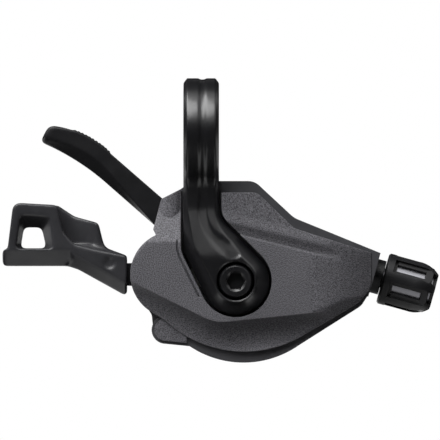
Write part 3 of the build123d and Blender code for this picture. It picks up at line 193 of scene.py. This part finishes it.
# Dark cards round the object, as a studio puts up to deepen blacks: only gloss sees them.
# Name, middle, size, turn in degrees
CARD_COLOUR = (0.01, 0.01, 0.01, 1.0)
CARD_ROUGHNESS = 1.0
CARDS = (
    ("card_front", (0.0, -1.0, 0.125), (2.4, 1.05), (90.0, 0.0, 0.0)),
    ("card_low", (0.0, -0.57, -0.090), (2.4, 0.86), (0.0, 0.0, 0.0)),
    ("card_under", (0.004, -0.02, -0.090), (0.064, 0.24), (0.0, 0.0, 0.0)),
    ("card_under_left", (-0.235, -0.02, -0.090), (0.35, 0.24), (0.0, 0.0, 0.0)),
    ("card_under_right", (0.250, -0.02, -0.090), (0.35, 0.24), (0.0, 0.0, 0.0)),
    ("card_left", (-1.2, -0.1, 0.15), (2.0, 0.80), (90.0, 0.0, 90.0)),
    ("card_right", (1.2, -0.1, 0.15), (2.0, 0.80), (90.0, 0.0, 90.0)),
    ("card_back", (0.0, 1.1, 0.25), (2.4, 1.00), (90.0, 0.0, 0.0)),
    ("card_high", (0.0, 0.55, 0.95), (2.4, 1.00), (-30.0, 0.0, 0.0)),
)

card_paint = bpy.data.materials.new("card_paint")
card_paint.use_nodes = True
card_shader = card_paint.node_tree.nodes["Principled BSDF"]
card_shader.inputs["Base Color"].default_value = CARD_COLOUR
card_shader.inputs["Roughness"].default_value = CARD_ROUGHNESS
for name, middle, size, turn in CARDS:
    bpy.ops.mesh.primitive_plane_add(size=1.0, location=middle)
    card = bpy.context.object
    card.name = name
    card.scale = (*size, 1.0)
    card.rotation_euler = [math.radians(angle) for angle in turn]
    card.visible_camera = False
    card.visible_diffuse = False
    card.visible_shadow = False
    card.data.materials.append(card_paint)

# Lamps: a soft box high in front, a matt fill, one from the left, a weak one behind.
# Name, middle, size, power in watts, whether gloss shows it
LAMP_TARGET = Vector((0.0, 0.0, -0.02))
LAMPS = (
    ("lamp_top", (-0.36, -0.36, 0.76), (1.20, 0.60), 13.4, True),
    ("lamp_fill", (-0.45, -0.75, 0.55), (0.50, 0.50), 4.0, False),
    ("lamp_left", (-0.85, -0.35, 0.20), (0.30, 0.30), 1.5, False),
    ("lamp_back", (0.15, 0.90, 0.55), (0.60, 0.60), 2.0, False),
)

for name, middle, size, power, shines in LAMPS:
    lamp_data = bpy.data.lights.new(name, "AREA")
    lamp_data.shape = "RECTANGLE"
    lamp_data.size, lamp_data.size_y = size
    lamp_data.energy = power
    lamp = bpy.data.objects.new(name, lamp_data)
    scene.collection.objects.link(lamp)
    lamp.location = middle
    lamp.visible_glossy = shines
    aim = LAMP_TARGET - Vector(middle)
    lamp.rotation_euler = aim.to_track_quat("-Z", "Y").to_euler()

# Finishes: what they all share
CLOUD_DETAIL, GRAIN_DETAIL, FLECK_DETAIL = 3.0, 2.0, 1.0
NOISE_SPAN = (0.3, 0.7)  # where most of a noise's values lie
TONE_SPAN = (0.25, 0.75)  # the same, for the gentler clouding of the colour
CORNER_SAMPLES = 4
WORN_REACH = 2.0  # how far wear goes, in edge radii
WORN_TURN = (0.985, 0.85)  # cosine of the edge's turn: where wear starts, where it is full
# Painted shade: the colour is darkened where ambient occlusion finds a crevice
CREVICE_OPEN = (0.35, 0.9)  # ambient occlusion of a shut crevice and of an open face
CREVICE_SHADE = 0.25  # what a shut crevice leaves of the colour


def finish(
    name,
    colour,
    worn,
    roughness,
    specular=0.3,
    metallic=0.0,
    grain_mm=0.12,
    grain_depth_mm=0.004,
    sparkle=0.0,
    sparkle_mm=0.25,
    cloud=0.12,
    cloud_mm=5.0,
    rough_spread=0.06,
    edge_mm=0.25,
    wear=0.35,
    crevice_mm=0.8,
):
    """A surface with clouding, grain, flecks, painted shade in crevices, soft edges and rubbed
    edges.
    """
    material = bpy.data.materials.new(name)
    material.use_nodes = True
    tree = material.node_tree
    tree.nodes.clear()
    link = tree.links.new
    out = add(tree, "ShaderNodeOutputMaterial")
    shader = add(tree, "ShaderNodeBsdfPrincipled")
    shader.inputs["Metallic"].default_value = metallic
    shader.inputs["Specular IOR Level"].default_value = specular
    link(shader.outputs[0], out.inputs["Surface"])

    place = add(tree, "ShaderNodeTexCoord").outputs["Object"]
    clouds = noise(tree, place, cloud_mm, CLOUD_DETAIL)
    grain = noise(tree, place, grain_mm, GRAIN_DETAIL)

    # Edges that hands and tools have rubbed, in patches
    wide = add(tree, "ShaderNodeBevel", samples=CORNER_SAMPLES)
    wide.inputs["Radius"].default_value = WORN_REACH * edge_mm * MM
    turn = add(tree, "ShaderNodeVectorMath", operation="DOT_PRODUCT")
    link(wide.outputs[0], turn.inputs[0])
    link(add(tree, "ShaderNodeNewGeometry").outputs["Normal"], turn.inputs[1])
    edge = carry(tree, turn.outputs["Value"], WORN_TURN, (0.0, wear))
    patchy = product(tree, edge, clouds)

    # Colour: base clouded, darkened in crevices as painted shade, flecked, then worn edges
    crevice = add(
        tree, "ShaderNodeAmbientOcclusion", samples=CORNER_SAMPLES, only_local=True
    )
    crevice.inputs["Distance"].default_value = crevice_mm * MM
    painted_crevice_shade = carry(tree, crevice.outputs["AO"], CREVICE_OPEN, (CREVICE_SHADE, 1.0))
    tone = carry(tree, clouds, TONE_SPAN, (1.0 - cloud, 1.0 + cloud))
    shade = product(tree, tone, painted_crevice_shade)
    if sparkle:
        flecks = noise(tree, place, sparkle_mm, FLECK_DETAIL)
        fleck = carry(tree, flecks, NOISE_SPAN, (1.0 - sparkle, 1.0 + sparkle))
        shade = product(tree, shade, fleck)
    base = add(tree, "ShaderNodeVectorMath", operation="SCALE")
    base.inputs[0].default_value = colour
    link(shade, base.inputs["Scale"])
    rubbed = add(tree, "ShaderNodeMix", data_type="RGBA")
    link(patchy, rubbed.inputs["Factor"])
    link(base.outputs["Vector"], rubbed.inputs["A"])
    rubbed.inputs["B"].default_value = (*worn, 1.0)
    link(rubbed.outputs["Result"], shader.inputs["Base Color"])

    # Roughness follows the clouding
    gloss_range = (roughness - rough_spread, roughness + rough_spread)
    link(carry(tree, clouds, NOISE_SPAN, gloss_range), shader.inputs["Roughness"])

    # Fine surface, on softened edges
    rounded = add(tree, "ShaderNodeBevel", samples=CORNER_SAMPLES)
    rounded.inputs["Radius"].default_value = edge_mm * MM
    bump = add(tree, "ShaderNodeBump")
    bump.inputs["Strength"].default_value = 1.0
    bump.inputs["Distance"].default_value = grain_depth_mm * MM
    link(grain, bump.inputs["Height"])
    link(rounded.outputs[0], bump.inputs["Normal"])
    link(bump.outputs[0], shader.inputs["Normal"])
    return material


# Finish: colour, colour of worn edges, roughness, and what differs from the usual
FINISHES = {
    "cover_grey": (
        (0.107, 0.105, 0.115), (0.17, 0.17, 0.18), 0.55,
        dict(specular=0.22, sparkle=0.60, grain_mm=0.3, grain_depth_mm=0.015, cloud=0.05),
    ),
    "body_black": (
        (0.060, 0.060, 0.065), (0.09, 0.09, 0.095), 0.42, dict(specular=0.40),
    ),
    # Painted shade: the black moulding again, darker, for the collar in its gap and for the
    # knob
    "knob_black_painted_shade": (
        (0.010, 0.010, 0.011), (0.028, 0.028, 0.030), 0.42, dict(specular=0.35),
    ),
    "lever_grey": (
        (0.028, 0.028, 0.031), (0.08, 0.08, 0.084), 0.36, dict(specular=0.50),
    ),
    "lever_black": (
        (0.010, 0.010, 0.011), (0.03, 0.03, 0.032), 0.42, dict(specular=0.28),
    ),
    "band_black": (
        (0.006, 0.006, 0.007), (0.03, 0.03, 0.032), 0.30,
        dict(specular=0.75, edge_mm=0.35, cloud=0.05, rough_spread=0.02, wear=0.15),
    ),
    "bolt_black": (
        (0.008, 0.008, 0.009), (0.06, 0.06, 0.062), 0.30, dict(specular=0.60),
    ),
    "steel": (
        (0.50, 0.50, 0.52), (0.62, 0.62, 0.63), 0.34, dict(metallic=1.0),
    ),
    "blackened_steel": (
        (0.020, 0.020, 0.022), (0.14, 0.14, 0.14), 0.38, dict(),
    ),
    "brass": (
        (0.60, 0.45, 0.20), (0.70, 0.56, 0.30), 0.32, dict(metallic=1.0),
    ),
    "bright_alloy": (
        (0.30, 0.30, 0.32), (0.42, 0.42, 0.43), 0.42, dict(metallic=1.0),
    ),
    "spool_plastic": (
        (0.70, 0.70, 0.68), (0.75, 0.75, 0.73), 0.45, dict(),
    ),
}

# Finish: the record's slot that it stands for, and the nodes that wear it
DRESS = {
    "cover_grey": ("cover_grey", ("front_cover",)),
    "body_black": ("black_moulding", ("base_bracket", "rear_cover")),
    # Painted shade: a darker copy of the black moulding, on the collar and the knob
    "knob_black_painted_shade": ("black_moulding", ("adjuster_collar", "adjuster_knob")),
    "lever_grey": ("lever_grey", ("release_lever_paddle",)),
    "lever_black": ("lever_black", ("main_lever_paddle",)),
    "band_black": ("band_black", ("clamp_band",)),
    "bolt_black": ("bolt_black", ("clamp_bolt", "cover_screws")),
    "steel": (
        "steel",
        (
            "main_axle", "axle_clip", "thrust_washers", "spool_spring", "index_wheel",
            "ratchet_wheel", "hold_pawl", "hold_pawl_pin", "hold_pawl_spring",
            "main_return_spring", "drive_pawl", "drive_pawl_pin", "drive_pawl_spring",
            "release_return_spring",
        ),
    ),
    "blackened_steel": ("blackened_steel", ("main_lever_plate", "release_lever_plate")),
    "brass": ("brass", ("adjuster_nut",)),
    "bright_alloy": ("bright_alloy", ("adjuster_bolt",)),
    "spool_plastic": ("spool_plastic", ("cable_spool",)),
}

for finish_name, (slot, names) in DRESS.items():
    colour, worn, roughness, special = FINISHES[finish_name]
    material = finish(finish_name, colour, worn, roughness, **special)
    for name in names:
        node = nodes[name]
        node.data.materials.clear()
        node.data.materials.append(material)
        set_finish(node, slot)


# Pieces that replace their nodes
def copy_of(name, ending):
    """A piece with a copy of the node's mesh and finish."""
    piece = bpy.data.objects.new(name + ending, nodes[name].data.copy())
    scene.collection.objects.link(piece)
    return piece


def as_shown(piece):
    """Give the piece the mesh that its modifiers make."""
    shape = piece.evaluated_get(bpy.context.evaluated_depsgraph_get())
    made = bpy.data.meshes.new_from_object(shape)
    piece.modifiers.clear()
    piece.data = made


def stand_in(piece, name):
    """Let the piece take the node's place, on its body and in its slot."""
    node = nodes[name]
    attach(piece, node["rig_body"])
    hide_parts(name)
    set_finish(piece, node["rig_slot"])


# Moulded and forged pieces: the solid's mesh with its edges run soft. Stretched across while
# it is smoothed, a piece keeps the lines that run along it.
# Voxel in mm, stretch, rounds of smoothing, share of the faces kept
SOFTENED = {
    "clamp_band": (0.24, 4.0, 40, 0.10),
    "front_cover": (0.12, 1.0, 1, 0.10),
    "main_lever_paddle": (0.20, 1.0, 8, 0.3),
    "release_lever_paddle": (0.22, 1.0, 40, 0.3),
}
# Places that are rounder still: middle in x and z and reach, all in mm, rounds of smoothing,
# and whether they also draw the sides in
MELTED = {
    "main_lever_paddle": ((-40.0, 0.0, 9.0, 120, True),),
    "release_lever_paddle": ((-26.5, -28.5, 6.0, 60, True),),
    "clamp_band": ((0.0, -11.5, 7.0, 400, False), (5.0, -29.0, 4.0, 60, False)),
    "front_cover": ((-13.5, -27.0, 6.0, 200, False), (42.0, -36.0, 16.0, 500, False)),
}
ACROSS = (1.0, 0.0, 0.0)


def soften(name, voxel_mm, stretch, rounds, kept):
    """Replace the node by its own mesh with soft edges and melted places."""
    piece = copy_of(name, "_soft")
    piece.data.transform(Matrix.Scale(stretch, 4, ACROSS))
    grid = piece.modifiers.new("grid", "REMESH")
    grid.mode = "VOXEL"
    grid.voxel_size = voxel_mm * MM
    grid.use_smooth_shade = True
    ease = piece.modifiers.new("ease", "SMOOTH")
    ease.iterations = rounds
    as_shown(piece)
    for x, z, reach, more_rounds, draws_in in MELTED[name]:
        near = piece.vertex_groups.new(name="near")
        for vertex in piece.data.vertices:
            away = math.hypot(vertex.co.x / MM / stretch - x, vertex.co.z / MM - z)
            if away < reach:
                near.add([vertex.index], 1.0 - away / reach, "REPLACE")
        melt = piece.modifiers.new("melt", "SMOOTH")
        melt.vertex_group = near.name
        melt.iterations = more_rounds
        melt.use_x = melt.use_z = draws_in
    thin = piece.modifiers.new("thin", "DECIMATE")
    thin.ratio = kept
    as_shown(piece)
    piece.data.transform(Matrix.Scale(1.0 / stretch, 4, ACROSS))
    stand_in(piece, name)


for name, values in SOFTENED.items():
    soften(name, *values)

# Clamp bolt: the lead-in of its socket, a cone round the hexagon
SINK_RADIUS, SINK_RUN, SINK_DEPTH = 2.6 * MM, 0.6 * MM, 0.35 * MM
SINK_SEGMENTS = 64

low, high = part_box("clamp_bolt")
head_middle = Vector(((low[0] + high[0]) / 2.0, low[1], (low[2] + high[2]) / 2.0))
cone = bmesh.new()
bmesh.ops.create_cone(
    cone,
    cap_ends=True,
    segments=SINK_SEGMENTS,
    radius1=SINK_RADIUS + SINK_RUN,
    radius2=SINK_RADIUS - SINK_RUN,
    depth=2.0 * SINK_DEPTH,
    matrix=Matrix.Translation(head_middle) @ Matrix.Rotation(math.radians(-90.0), 4, "X"),
)
cutter_mesh = bpy.data.meshes.new("cutter")
cone.to_mesh(cutter_mesh)
cone.free()
cutter = bpy.data.objects.new("cutter", cutter_mesh)
scene.collection.objects.link(cutter)
bolt = copy_of("clamp_bolt", "_sunk")
sink = bolt.modifiers.new("sink", "BOOLEAN")
sink.operation = "DIFFERENCE"
sink.object = cutter
as_shown(bolt)
bpy.data.objects.remove(cutter)
stand_in(bolt, "clamp_bolt")
